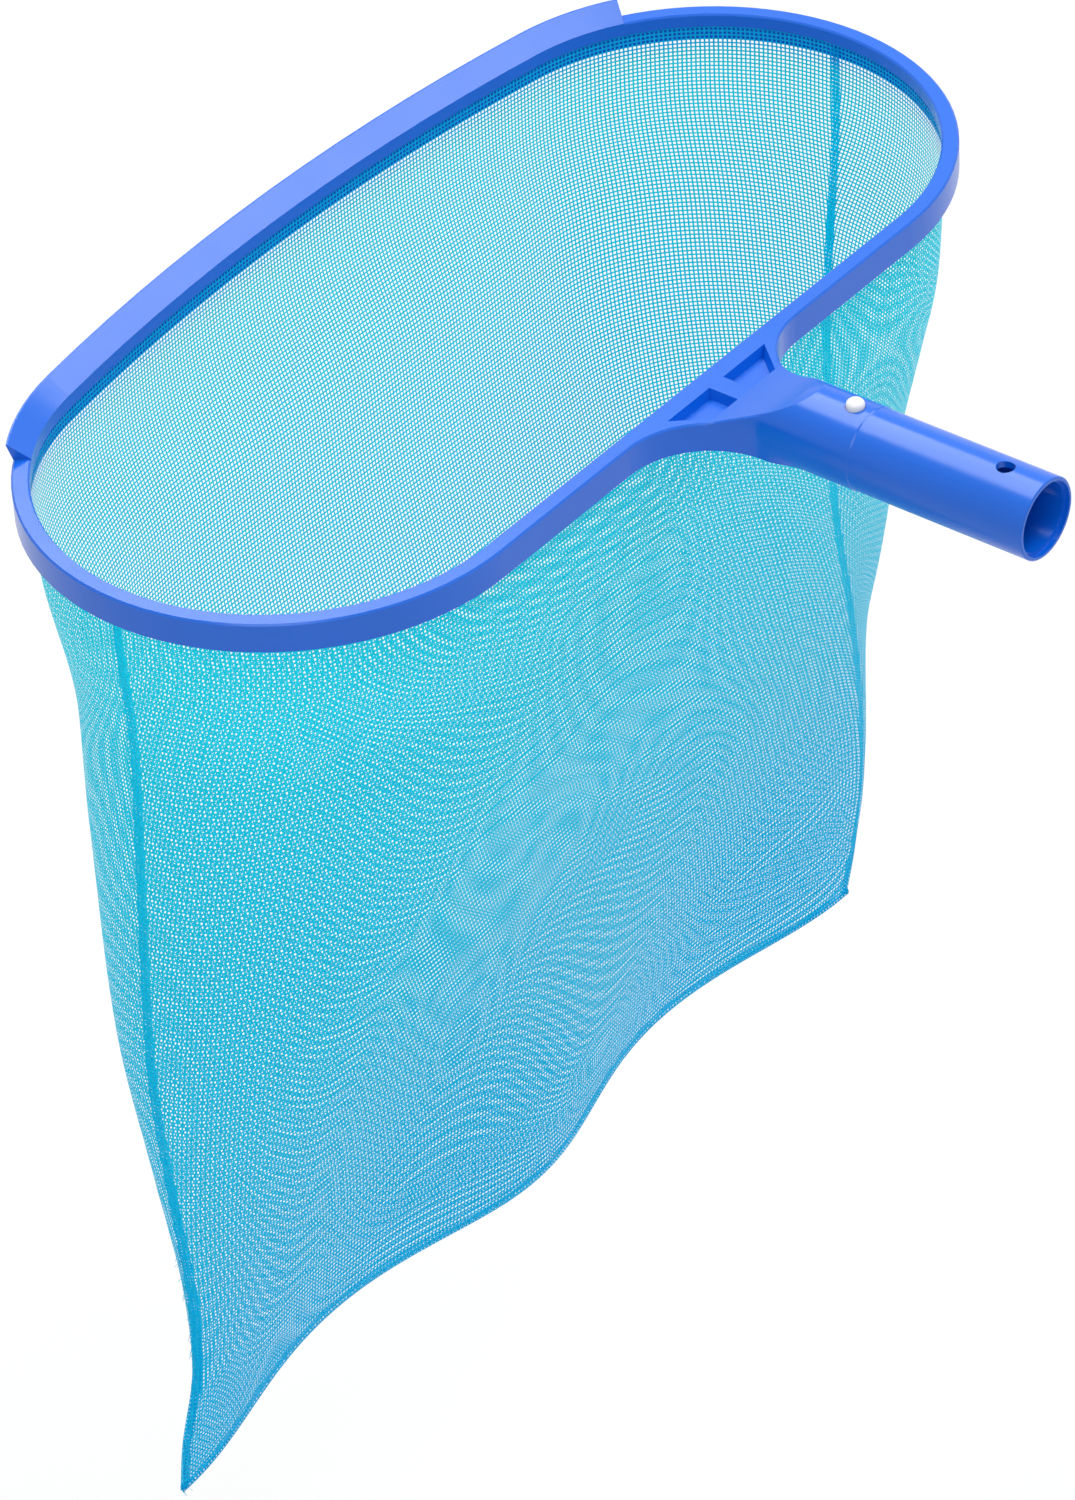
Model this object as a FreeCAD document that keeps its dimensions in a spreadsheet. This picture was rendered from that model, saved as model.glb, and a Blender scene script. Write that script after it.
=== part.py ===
import FreeCAD
import Part
import Sketcher
import math
import os

# Leaf skimmer net: moulded rim with scoop lip, yoke and barrel handle, clamped net bag and spring clip.
# Frame: origin on the handle's axis at its mouth, +Y from the mouth to the rim, +X along the rim, +Z up.
# Net and hoop sizes are distances outward from the rim's inner edge, and depths below the rim's top face.

SIZES = {
    # barrel handle, along +Y from its mouth
    "handle_dia": 28.5, "handle_run": 130.8, "seat_at": 67, "seat_dia": 29, "mouth_round": 0.4,
    "bore_dia": 23.9, "bore_deep": 86, "relief_dia": 25.9, "relief_deep": 2,
    "bore_end_dia": 11, "bore_end_deep": 98,
    # rim: mouth opening, section and height above the handle's axis
    "mouth_wide": 174, "mouth_half": 111.6, "end_radius": 82.6, "rim_wide": 6, "rim_high": 10.7,
    "rim_top": 1.8, "rim_roof": 2, "inner_wall": 1.4, "inner_wall_high": 5, "channel_out": 4.2,
    "rim_edge": 0.6,
    # scoop lip on the far side
    "lip_rise": 5.6, "lip_over": 1.9, "lip_crest": 0.6, "lip_sunk": 0.8, "lip_end": 55.7,
    # yoke between rim and barrel
    "yoke_radius": 31, "ramp_start": 88.5, "ramp_end": 118.1, "ramp_radius": 108,
    "keel_start": 92, "keel_radius": 60,
    "rib_half": 3.75, "pocket_start": 118.1, "pocket_end": 129.6, "pocket_wide": 26.4,
    "pocket_narrow": 16.7, "pocket_deep": 3.5, "pocket_draft": 1.1,
    "core_deep": 5, "core_wall": 2.2, "core_rib_half": 1.5,
    # spring clip in the barrel, and the barrel's cross holes
    "button_at": 73.7, "button_dia": 6.3, "button_hole": 6.7, "button_proud": 3.1, "button_dome": 2.2,
    "flange_dia": 8.4, "flange_thick": 0.7, "rivet_dia": 5, "shank_dia": 3.2, "rivet_thick": 0.9,
    "spare_hole_at": 15.5, "spare_hole": 6.3,
    "leg_wide": 8, "leg_thick": 0.8, "leg_end": 80, "leg_knee": 65, "leg_high": 9.4, "leg_draft": 11.5,
    "bend_at": 36, "bend_radius": 3.6,
    # hoop and cord that hold the net in the rim's channel
    "hoop_in": 0.7, "hoop_neck_in": 2, "hoop_out": 4.1, "hoop_top": 3.9, "hoop_step": 5.6,
    "hoop_bottom": 10.4, "cord_dia": 1.7, "cord_in": 2.8, "cord_down": 3,
    # net bag
    "net_in": 0.2, "net_thick": 0.4, "net_neck_in": 1.5, "net_top": 2.4, "net_step": 5.1, "hem_down": 14,
    "bag_thick": 0.5, "seam_half": 0.8, "seam_proud": 2.4, "foot_half": 1.9, "foot_high": 3.2,
}

# The hanging bag in level sections: depth below the rim's top, left end, right end, half depth.
BAG_SECTIONS = [
    (60, -194, 191, 80),
    (118, -196.5, 187, 68),
    (200, -202, 188, 44),
    (285, -197, 201, 21),
    (345, -197, 203, 9),
    (388, -207, 191, 2),
]


# Straight chords along each rounded end of the bag
END_CHORDS = 7

# Corners of a six-sided section of radius 1
HEXAGON = [(1, 0), (0.5, 0.866), (-0.5, 0.866), (-1, 0), (-0.5, -0.866), (0.5, -0.866)]


class Size:
    """A number with the sheet formula that gives it, so that one sum serves both."""

    def __init__(self, number, formula=None):
        self.number = number
        self.formula = formula or repr(number)

    def join(self, sign, other, number):
        return Size(number, f"({self.formula} {sign} {as_size(other).formula})")

    def __add__(self, other):
        return self.join("+", other, self.number + as_size(other).number)

    def __sub__(self, other):
        return self.join("-", other, self.number - as_size(other).number)

    def __mul__(self, other):
        return self.join("*", other, self.number * as_size(other).number)

    def __truediv__(self, other):
        return self.join("/", other, self.number / as_size(other).number)

    def __neg__(self):
        return self * -1


def as_size(item):
    return item if isinstance(item, Size) else Size(item)


doc = FreeCAD.newDocument("skimmer")
sheet = doc.addObject("Spreadsheet::Sheet", "Sizes")
for row, (alias, number) in enumerate(SIZES.items(), start=1):
    sheet.set(f"A{row}", alias)
    sheet.set(f"B{row}", str(number))
    sheet.setAlias(f"B{row}", alias)
doc.recompute()


def cell(alias):
    return Size(float(sheet.get(alias)), "Sizes." + alias)


def bind(item, prop, value):
    """Tie a property to the sheet."""
    item.setExpression(prop, as_size(value).formula)


def cosine(angle):
    return Size(math.cos(math.radians(angle.number)), f"cos({angle.formula} * 1 deg)")


def new_body(label):
    body = doc.addObject("PartDesign::Body", label)
    body.Label = label
    return body


def new_sketch(body, name, role="XY_Plane", lift=None):
    """A sketch on one of the body's planes, lifted along that plane's normal."""
    sketch = body.newObject("Sketcher::SketchObject", name)
    plane = next(item for item in body.Origin.OriginFeatures if item.Role == role)
    sketch.AttachmentSupport = [(plane, "")]
    sketch.MapMode = "FlatFace"
    if lift is not None:
        sketch.AttachmentOffset.Base.z = lift.number
        bind(sketch, "AttachmentOffset.Base.z", lift)
    return sketch


def limit(sketch, kind, args, value):
    """A size in a sketch, bound to the sheet."""
    value = as_size(value)
    index = sketch.addConstraint(Sketcher.Constraint(kind, *args, value.number))
    sketch.renameConstraint(index, f"size_{index}")
    bind(sketch, f"Constraints.size_{index}", value)


def pin(sketch, edge, end, x, y):
    """Both coordinates of a point, measured from the sketch's origin."""
    for kind, axis, value in (("DistanceX", -2, x), ("DistanceY", -1, y)):
        if as_size(value).number == 0:
            sketch.addConstraint(Sketcher.Constraint("PointOnObject", edge, end, axis))
        else:
            limit(sketch, kind, (-1, 1, edge, end), value)


def point(x, y):
    return FreeCAD.Vector(as_size(x).number, as_size(y).number, 0)


def arc(x, y, radius, start, end):
    """A counter-clockwise arc; its angles are in radians."""
    circle = Part.Circle(point(x, y), FreeCAD.Vector(0, 0, 1), as_size(radius).number)
    return Part.ArcOfCircle(circle, start, end)


def bowed(first, last, radius, way):
    """An arc between two points that bows upward or downward."""
    first = point(*first)
    last = point(*last)
    chord = last - first
    sag = radius.number - math.sqrt(radius.number ** 2 - chord.Length ** 2 / 4)
    normal = FreeCAD.Vector(-chord.y, chord.x, 0).normalize()
    if normal.y * way < 0:
        normal = -normal
    return Part.Arc(first, first + chord / 2 + normal * sag, last)


def add_chain(sketch, corners):
    """A closed chain of straight edges through corners, each pinned in place."""
    first = sketch.GeometryCount
    count = len(corners)
    for index, corner in enumerate(corners):
        sketch.addGeometry(Part.LineSegment(point(*corner), point(*corners[(index + 1) % count])), False)
    for index in range(count):
        following = first + (index + 1) % count
        sketch.addConstraint(Sketcher.Constraint("Coincident", first + index, 2, following, 1))
    for index, corner in enumerate(corners):
        pin(sketch, first + index, 1, *corner)
    return first


def add_hole(sketch, x, y, diameter):
    edge = sketch.addGeometry(Part.Circle(point(x, y), FreeCAD.Vector(0, 0, 1), diameter.number / 2), False)
    pin(sketch, edge, 3, x, y)
    limit(sketch, "Diameter", (edge,), diameter)


def feature(body, kind, name, sketch, cuts=False, **settings):
    """Add a feature and check that it made the solid larger or, for a cut, smaller."""
    before = body.Shape.Volume if body.Tip else 0.0
    item = body.newObject("PartDesign::" + kind, name)
    item.Profile = sketch
    for prop, value in settings.items():
        if isinstance(value, Size):
            bind(item, prop, value)
        else:
            setattr(item, prop, value)
    doc.recompute()
    body.Tip = item
    doc.recompute()
    grown = body.Shape.Volume - before
    if (grown < -0.01) != cuts or abs(grown) < 0.01:
        raise RuntimeError(f"{name} changed the volume of {body.Label} by {grown:.3f}")
    return item


def mirror(body, name, originals, role):
    """Repeat features on the other side of one of the body's planes."""
    item = body.newObject("PartDesign::Mirrored", name)
    item.Originals = originals
    plane = next(entry for entry in body.Origin.OriginFeatures if entry.Role == role)
    item.MirrorPlane = (plane, [""])
    body.Tip = item
    doc.recompute()


# Rim outline: a straight near side, two end arcs and one long arc on the far side
mouth_half = cell("mouth_half")
end_radius = cell("end_radius")
rim_top = cell("rim_top")
rim_bottom = rim_top - cell("rim_high")
handle_run = cell("handle_run")
mouth_near = handle_run + cell("rim_wide")
centre_y = mouth_near + cell("mouth_wide") / 2
end_y = mouth_near + end_radius
far_radius = cell("mouth_wide") / 2 + mouth_half * mouth_half / (cell("mouth_wide") - end_radius * 2) / 2
far_y = mouth_near + cell("mouth_wide") - far_radius
join = math.atan2(end_y.number - far_y.number, mouth_half.number)


def end_arcs(grow, first, last):
    """The right end arc between two angles, the far arc and the mirrored left end arc."""
    return [
        arc(mouth_half, end_y, end_radius + grow, first, join),
        arc(0, far_y, far_radius + grow, join, math.pi - join),
        arc(-mouth_half, end_y, end_radius + grow, math.pi - join, last),
    ]


def add_end_arcs(sketch, grow, first, last):
    """Draw those three arcs, tangent to each other, with their centres and radii bound."""
    edges = [sketch.addGeometry(item, False) for item in end_arcs(grow, first, last)]
    right, far, left = edges
    sketch.addConstraint(Sketcher.Constraint("Tangent", right, 2, far, 1))
    sketch.addConstraint(Sketcher.Constraint("Tangent", far, 2, left, 1))
    pin(sketch, right, 3, mouth_half, end_y)
    pin(sketch, left, 3, -mouth_half, end_y)
    limit(sketch, "Radius", (right,), end_radius + grow)
    limit(sketch, "Radius", (far,), far_radius + grow)
    return edges


def add_outline(sketch, grow):
    """Draw the closed outline, grown outward from the mouth's edge."""
    grow = as_size(grow)
    right, far, left = add_end_arcs(sketch, grow, -math.pi / 2, 1.5 * math.pi)
    near_y = mouth_near - grow
    near = sketch.addGeometry(Part.LineSegment(point(-mouth_half, near_y), point(mouth_half, near_y)), False)
    sketch.addConstraint(Sketcher.Constraint("Tangent", left, 2, near, 1))
    sketch.addConstraint(Sketcher.Constraint("Tangent", near, 2, right, 1))


def add_yoke_outline(sketch):
    """Draw the rim's outer edge with the yoke's concave flanks running out of its near side."""
    grow = cell("rim_wide")
    radius = cell("yoke_radius")
    neck = cell("handle_dia") / 2
    flank = neck + radius
    root_y = handle_run - radius
    right, far, left = add_end_arcs(sketch, grow, -math.pi / 2, 1.5 * math.pi)
    path = [
        Part.LineSegment(point(-mouth_half, handle_run), point(-flank, handle_run)),
        arc(-flank, root_y, radius, 0, math.pi / 2),
        Part.LineSegment(point(-neck, root_y), point(neck, root_y)),
        arc(flank, root_y, radius, math.pi / 2, math.pi),
        Part.LineSegment(point(flank, handle_run), point(mouth_half, handle_run)),
    ]
    shore_left, flank_left, root, flank_right, shore_right = [sketch.addGeometry(item, False) for item in path]
    sketch.addConstraint(Sketcher.Constraint("Tangent", left, 2, shore_left, 1))
    sketch.addConstraint(Sketcher.Constraint("Tangent", shore_left, 2, flank_left, 2))
    sketch.addConstraint(Sketcher.Constraint("Coincident", flank_left, 1, root, 1))
    sketch.addConstraint(Sketcher.Constraint("Coincident", root, 2, flank_right, 2))
    sketch.addConstraint(Sketcher.Constraint("Tangent", flank_right, 1, shore_right, 1))
    sketch.addConstraint(Sketcher.Constraint("Tangent", shore_right, 2, right, 1))
    pin(sketch, flank_left, 3, -flank, root_y)
    pin(sketch, flank_right, 3, flank, root_y)
    sketch.addConstraint(Sketcher.Constraint("Horizontal", root))


def rim_and_yoke(body):
    """The flat plate of the rim with its yoke, its top edges broken."""
    sketch = new_sketch(body, "RimAndYoke", lift=rim_bottom)
    add_yoke_outline(sketch)
    add_outline(sketch, 0)
    plate = feature(body, "Pad", "Plate", sketch, Length=cell("rim_high"))
    top = rim_top.number
    names = [
        f"Edge{index}" for index, edge in enumerate(plate.Shape.Edges, start=1)
        if abs(edge.BoundBox.ZMin - top) < 0.01 and abs(edge.BoundBox.ZMax - top) < 0.01
        and edge.BoundBox.YMax > handle_run.number - cell("yoke_radius").number + 0.1
    ]
    edges = body.newObject("PartDesign::Chamfer", "TopEdges")
    edges.Base = (plate, names)
    bind(edges, "Size", cell("rim_edge"))
    body.Tip = edges
    doc.recompute()

def scoop_lip(body):
    """A wedge that rises from the mouth's edge and leans out over the rim's far side."""
    rise = cell("lip_rise")
    sunk = cell("lip_sunk")
    lean = cell("lip_over") / rise
    angle = math.radians(cell("lip_end").number)
    sections = []
    for name, lift, grow in (
        ("LipFoot", rim_top - sunk, cell("rim_wide") - lean * sunk),
        ("LipCrest", rim_top + rise, cell("rim_wide") + lean * rise),
    ):
        sketch = new_sketch(body, name, lift=lift)
        right, far, left = add_end_arcs(sketch, grow, angle, math.pi - angle)
        end_x = mouth_half + (end_radius + grow) * cosine(cell("lip_end"))
        start = sketch.Geometry[right].StartPoint
        finish = sketch.Geometry[left].EndPoint
        lines = [
            Part.LineSegment(finish, point(-mouth_half, end_y)),
            Part.LineSegment(point(-mouth_half, end_y), point(mouth_half, end_y)),
            Part.LineSegment(point(mouth_half, end_y), start),
        ]
        left_end, across, right_end = [sketch.addGeometry(item, False) for item in lines]
        for args in (
            (left, 2, left_end, 1), (left_end, 2, across, 1), (across, 2, right_end, 1),
            (right_end, 2, right, 1), (across, 1, left, 3), (across, 2, right, 3),
        ):
            sketch.addConstraint(Sketcher.Constraint("Coincident", *args))
        limit(sketch, "DistanceX", (-1, 1, right, 1), end_x)
        limit(sketch, "DistanceX", (-1, 1, left, 2), -end_x)
        sections.append(sketch)
    feature(body, "AdditiveLoft", "LipBlock", sections[0], Sections=sections[1:], Ruled=True)
    past = 1.2
    slope_foot = new_sketch(body, "SlopeFoot", lift=rim_top)
    add_outline(slope_foot, 0)
    slope_top = new_sketch(body, "SlopeTop", lift=rim_top + rise * past)
    add_outline(slope_top, (cell("rim_wide") + cell("lip_over") - cell("lip_crest")) * past)
    feature(body, "SubtractiveLoft", "LipSlope", slope_foot, cuts=True, Sections=[slope_top], Ruled=True)
    clearing = new_sketch(body, "MouthClearing", lift=rim_top)
    add_outline(clearing, 0)
    feature(body, "Pocket", "ClearMouth", clearing, cuts=True, Length=sunk)


def barrel(body):
    """The barrel that the pole slides over, with its ramps into the yoke and its blind bore."""
    radius = cell("handle_dia") / 2
    seat = cell("seat_dia") / 2
    end = cell("ramp_end")
    edge = cell("mouth_round")
    sketch = new_sketch(body, "BarrelSide")
    add_chain(sketch, [
        (0, 0), (radius - edge, 0), (radius, edge), (radius, cell("seat_at")),
        (seat, cell("seat_at") + 0.5), (seat, end), (0, end),
    ])
    feature(body, "Revolution", "Barrel", sketch, ReferenceAxis=(sketch, ["V_Axis"]), Angle=360)

    ramps = new_sketch(body, "Ramps", role="YZ_Plane")
    for start, floor, crown, curve, way in (
        (cell("ramp_start"), rim_top, seat, cell("ramp_radius"), 1),
        (cell("keel_start"), rim_bottom, -seat, cell("keel_radius"), -1),
    ):
        top = crown + 8 * way
        first = (start, crown)
        last = (end, floor)
        beyond = end + 1
        slope = ramps.addGeometry(bowed(first, last, curve, -way), False)
        corners = [last, (beyond, floor), (beyond, top), (start, top), first]
        lines = [
            ramps.addGeometry(Part.LineSegment(point(*corners[index]), point(*corners[index + 1])), False)
            for index in range(4)
        ]
        for index in range(3):
            ramps.addConstraint(Sketcher.Constraint("Coincident", lines[index], 2, lines[index + 1], 1))
        low, high = (1, 2) if ramps.getPoint(slope, 1).distanceToPoint(point(*last)) < 0.001 else (2, 1)
        ramps.addConstraint(Sketcher.Constraint("Coincident", slope, low, lines[0], 1))
        ramps.addConstraint(Sketcher.Constraint("Coincident", slope, high, lines[3], 2))
        for index in range(4):
            pin(ramps, lines[index], 1, *corners[index])
        pin(ramps, lines[3], 2, *first)
        limit(ramps, "Radius", (slope,), curve)
    feature(body, "Pocket", "CutRamps", ramps, cuts=True, SideType="Symmetric", Length=seat * 2 + 6)

    bore = cell("bore_dia") / 2
    relief = cell("relief_dia") / 2
    inside = new_sketch(body, "BoreSide")
    add_chain(inside, [
        (0, 0), (relief, 0), (relief, cell("relief_deep")), (bore, cell("relief_deep")),
        (bore, cell("bore_deep")), (cell("bore_end_dia") / 2, cell("bore_end_deep")), (0, cell("bore_end_deep")),
    ])
    feature(body, "Groove", "Bore", inside, cuts=True, ReferenceAxis=(inside, ["V_Axis"]), Angle=360)

    holes = new_sketch(body, "CrossHoles")
    add_hole(holes, 0, cell("button_at"), cell("button_hole"))
    add_hole(holes, 0, cell("spare_hole_at"), cell("spare_hole"))
    feature(body, "Pocket", "DrillHoles", holes, cuts=True, SideType="Symmetric", Length=cell("handle_dia") * 2)


def yoke_hollows(body):
    """Two blind pockets in the yoke's top and two deeper cores in its underside, beside a centre rib."""
    floor_in = cell("pocket_draft")
    mouth = [
        (cell("rib_half"), cell("pocket_start")), (cell("pocket_narrow"), cell("pocket_start")),
        (cell("pocket_wide"), cell("pocket_end")), (cell("rib_half"), cell("pocket_end")),
    ]
    floor = [
        (mouth[0][0] + floor_in, mouth[0][1] + floor_in), (mouth[1][0] - floor_in * 0.6, mouth[1][1] + floor_in),
        (mouth[2][0] - floor_in * 2.2, mouth[2][1] - floor_in), (mouth[3][0] + floor_in, mouth[3][1] - floor_in),
    ]
    top = new_sketch(body, "PocketMouth", lift=rim_top)
    add_chain(top, mouth)
    low = new_sketch(body, "PocketFloor", lift=rim_top - cell("pocket_deep"))
    add_chain(low, floor)
    pocket = feature(body, "SubtractiveLoft", "TopPocket", top, cuts=True, Sections=[low], Ruled=True)
    mirror(body, "TopPockets", [pocket], "YZ_Plane")

    neck = cell("handle_dia") / 2
    flank = neck + cell("yoke_radius")
    root_y = handle_run - cell("yoke_radius")
    radius = cell("yoke_radius") + cell("core_wall")
    near = cell("pocket_start") + 1
    far = handle_run - 1.4
    inner = cell("core_rib_half")
    core = new_sketch(body, "CoreMouth", lift=rim_bottom)
    start_angle = math.pi - math.asin((far.number - root_y.number) / radius.number)
    end_angle = math.pi - math.asin((near.number - root_y.number) / radius.number)
    flank_arc = core.addGeometry(arc(flank, root_y, radius, start_angle, end_angle), False)
    start = core.Geometry[flank_arc].StartPoint
    finish = core.Geometry[flank_arc].EndPoint
    lines = [
        core.addGeometry(Part.LineSegment(*ends), False) for ends in (
            (finish, point(inner, near)), (point(inner, near), point(inner, far)), (point(inner, far), start),
        )
    ]
    for args in (
        (flank_arc, 2, lines[0], 1), (lines[0], 2, lines[1], 1), (lines[1], 2, lines[2], 1), (lines[2], 2, flank_arc, 1),
    ):
        core.addConstraint(Sketcher.Constraint("Coincident", *args))
    pin(core, flank_arc, 3, flank, root_y)
    limit(core, "Radius", (flank_arc,), radius)
    pin(core, lines[1], 1, inner, near)
    pin(core, lines[1], 2, inner, far)
    core.addConstraint(Sketcher.Constraint("Horizontal", lines[0]))
    core.addConstraint(Sketcher.Constraint("Horizontal", lines[2]))
    hollow = feature(body, "Pocket", "Core", core, cuts=True, Reversed=True, Length=cell("core_deep"))
    mirror(body, "Cores", [hollow], "YZ_Plane")


def rim_channel(body):
    """The channel under the rim: a full outer wall, a roof and an inner wall of half height."""
    for name, inner, depth in (
        ("ChannelMouth", as_size(-3), cell("rim_high") - cell("inner_wall_high")),
        ("ChannelNeck", cell("inner_wall"), cell("rim_high") - cell("rim_roof")),
    ):
        sketch = new_sketch(body, name, lift=rim_bottom)
        add_outline(sketch, cell("channel_out"))
        add_outline(sketch, inner)
        feature(body, "Pocket", name + "Cut", sketch, cuts=True, Reversed=True, Length=depth)


def frame():
    body = new_body("frame")
    rim_and_yoke(body)
    scoop_lip(body)
    barrel(body)
    rim_channel(body)
    yoke_hollows(body)
    return body


def net_retainer():
    """The hoop pressed up into the channel; its neck goes beside the inner wall."""
    body = new_body("net_retainer")
    for name, inner, top, bottom in (
        ("Band", cell("hoop_in"), cell("hoop_step"), cell("hoop_bottom")),
        ("Neck", cell("hoop_neck_in"), cell("hoop_top"), cell("hoop_step")),
    ):
        sketch = new_sketch(body, name + "Plan", lift=rim_top - bottom)
        add_outline(sketch, cell("hoop_out"))
        add_outline(sketch, inner)
        feature(body, "Pad", name, sketch, Length=bottom - top)
    return body


def hem_cord():
    """The cord in the net's hem, laid round the channel above the hoop."""
    body = new_body("hem_cord")
    path = new_sketch(body, "CordPath", lift=rim_top - cell("cord_down"))
    add_outline(path, cell("cord_in"))
    section = new_sketch(body, "CordSection", role="YZ_Plane", lift=-mouth_half)
    radius = cell("cord_dia") / 2
    add_chain(section, [
        (mouth_near - cell("cord_in") + radius * step_y, rim_top - cell("cord_down") + radius * step_z)
        for step_y, step_z in HEXAGON
    ])
    feature(body, "AdditivePipe", "Cord", section, Spine=(path, [""]))
    return body


def clip_leg():
    """The upper leg of the spring: it climbs from the bend to a flat that carries the button."""
    body = new_body("clip_upper_leg")
    side = new_sketch(body, "LegSide", role="YZ_Plane")
    thick = cell("leg_thick")
    root_y = cell("bend_at")
    root_z = cell("bend_radius") + thick / 2
    high = cell("leg_high")
    add_chain(side, [
        (root_y, root_z - thick / 2), (cell("leg_knee"), high), (cell("leg_end"), high),
        (cell("leg_end"), high + thick), (cell("leg_knee"), high + thick), (root_y, root_z + thick / 2),
    ])
    feature(body, "Pad", "Leg", side, SideType="Symmetric", Length=cell("leg_wide"))
    hole = new_sketch(body, "ShankHole", lift=high)
    add_hole(hole, 0, cell("button_at"), cell("shank_dia"))
    feature(body, "Pocket", "DrillShank", hole, cuts=True, SideType="Symmetric", Length=thick * 4)
    return body


def clip_bend():
    """The upper half of the spring's bend, fixed where it meets the lower half."""
    body = new_body("clip_upper_bend")
    side = new_sketch(body, "BendSide", role="YZ_Plane")
    thick = cell("leg_thick")
    inner = cell("bend_radius")
    root_y = cell("bend_at")
    half_turn = (math.pi / 2, math.pi)
    outer_arc = side.addGeometry(arc(root_y, 0, inner + thick, *half_turn), False)
    inner_arc = side.addGeometry(arc(root_y, 0, inner, *half_turn), False)
    foot = side.addGeometry(Part.LineSegment(point(root_y - inner - thick, 0), point(root_y - inner, 0)), False)
    root = side.addGeometry(Part.LineSegment(point(root_y, inner), point(root_y, inner + thick)), False)
    for args in ((outer_arc, 2, foot, 1), (foot, 2, inner_arc, 2), (inner_arc, 1, root, 1), (root, 2, outer_arc, 1)):
        side.addConstraint(Sketcher.Constraint("Coincident", *args))
    pin(side, inner_arc, 3, root_y, 0)
    side.addConstraint(Sketcher.Constraint("Coincident", inner_arc, 3, outer_arc, 3))
    limit(side, "Radius", (inner_arc,), inner)
    limit(side, "Radius", (outer_arc,), inner + thick)
    side.addConstraint(Sketcher.Constraint("Vertical", root))
    side.addConstraint(Sketcher.Constraint("Horizontal", foot))
    side.addConstraint(Sketcher.Constraint("PointOnObject", foot, 1, -1))
    side.addConstraint(Sketcher.Constraint("Vertical", inner_arc, 3, root, 1))
    feature(body, "Pad", "Bend", side, SideType="Symmetric", Length=cell("leg_wide"))
    return body


def clip_button():
    """The domed button, its flange on the leg and its shank riveted through it."""
    body = new_body("upper_button")
    side = new_sketch(body, "ButtonSide", role="YZ_Plane")
    axis_y = cell("button_at")
    radius = cell("button_dia") / 2
    flange = cell("flange_dia") / 2
    shank = cell("shank_dia") / 2
    rivet = cell("rivet_dia") / 2
    under = cell("leg_high")
    seat = under + cell("leg_thick")
    top = cell("handle_dia") / 2 + cell("button_proud")
    shoulder = top - cell("button_dome")
    corners = [
        (axis_y, top), (axis_y, under - cell("rivet_thick")), (axis_y + rivet, under - cell("rivet_thick")),
        (axis_y + rivet, under), (axis_y + shank, under), (axis_y + shank, seat), (axis_y + flange, seat),
        (axis_y + flange, seat + cell("flange_thick")), (axis_y + radius, seat + cell("flange_thick")),
        (axis_y + radius, shoulder),
    ]
    steps = 4
    for step in range(1, steps):
        turn = as_size(90) * (step / steps)
        corners.append((axis_y + radius * cosine(turn), shoulder + (top - shoulder) * cosine(turn - 90)))
    add_chain(side, corners)
    feature(body, "Revolution", "Button", side, ReferenceAxis=(side, ["Edge1"]), Angle=360)
    return body


def lower_copy(body, label):
    """The same piece mirrored to the barrel's underside."""
    item = doc.addObject("Part::Mirroring", label)
    item.Label = label
    item.Source = body
    item.Base = FreeCAD.Vector(0, 0, 0)
    item.Normal = FreeCAD.Vector(0, 0, 1)
    return item


def mm(alias):
    return cell(alias).number


def at_height(edge, depth):
    """Lower a flat curve to its depth below the rim's top."""
    moved = edge.toShape()
    moved.translate(FreeCAD.Vector(0, 0, rim_top.number - depth))
    return moved


def rim_half(side, grow, depth):
    """The rim outline's front (-1) or back (+1) half, from seam to seam, counter-clockwise."""
    reach = end_radius.number + grow
    offset = centre_y.number + side * mm("seam_half") - end_y.number
    cut = math.asin(offset / reach)
    if side < 0:
        near_y = mouth_near.number - grow
        edges = [
            arc(-mouth_half, end_y, reach, math.pi - cut, 1.5 * math.pi),
            Part.LineSegment(point(-mouth_half, near_y), point(mouth_half, near_y)),
            arc(mouth_half, end_y, reach, -math.pi / 2, cut),
        ]
    else:
        edges = end_arcs(as_size(grow), cut, math.pi - cut)
    return [at_height(edge, depth) for edge in edges]


def chords(edges):
    """Replace each of a half section's curves by a few straight chords."""
    points = [edges[0].valueAt(edges[0].FirstParameter)]
    for edge, count in zip(edges, (END_CHORDS, 4, END_CHORDS)):
        span = edge.LastParameter - edge.FirstParameter
        points += [edge.valueAt(edge.FirstParameter + span * step / count) for step in range(1, count + 1)]
    return [Part.makeLine(one, other) for one, other in zip(points, points[1:])]


def bag_half(side, grow, depth, left, right, half):
    """The same for a level section of the hanging bag, which is round-ended and flat-sided."""
    radius = half - mm("seam_half") + grow
    base = centre_y.number + side * mm("seam_half")
    inset = half - mm("seam_half")
    flat_y = base + side * radius
    ends = [point(left + inset, flat_y), point(right - inset, flat_y)]
    if side < 0:
        edges = [
            arc(left + inset, base, radius, math.pi, 1.5 * math.pi),
            Part.LineSegment(ends[0], ends[1]),
            arc(right - inset, base, radius, -math.pi / 2, 0),
        ]
    else:
        edges = [
            arc(right - inset, base, radius, 0, math.pi / 2),
            Part.LineSegment(ends[1], ends[0]),
            arc(left + inset, base, radius, math.pi / 2, math.pi),
        ]
    return [at_height(edge, depth) for edge in edges]


def ribbon(outer, inner):
    """A closed wire round two parallel runs of edges."""
    caps = []
    for place in (-1, 0):
        vertex = 1 if place else 0
        ends = [run[place].Vertexes[vertex].Point for run in (outer, inner)]
        caps.append(Part.makeLine(*ends))
    return Part.Wire(outer + [caps[0]] + list(reversed(inner)) + [caps[1]])


def band(side, inner, outer, top, bottom):
    """An upright strip of net that follows half of the rim."""
    wire = ribbon(rim_half(side, outer, bottom), rim_half(side, inner, bottom))
    return Part.Face(wire).extrude(FreeCAD.Vector(0, 0, bottom - top))


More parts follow.
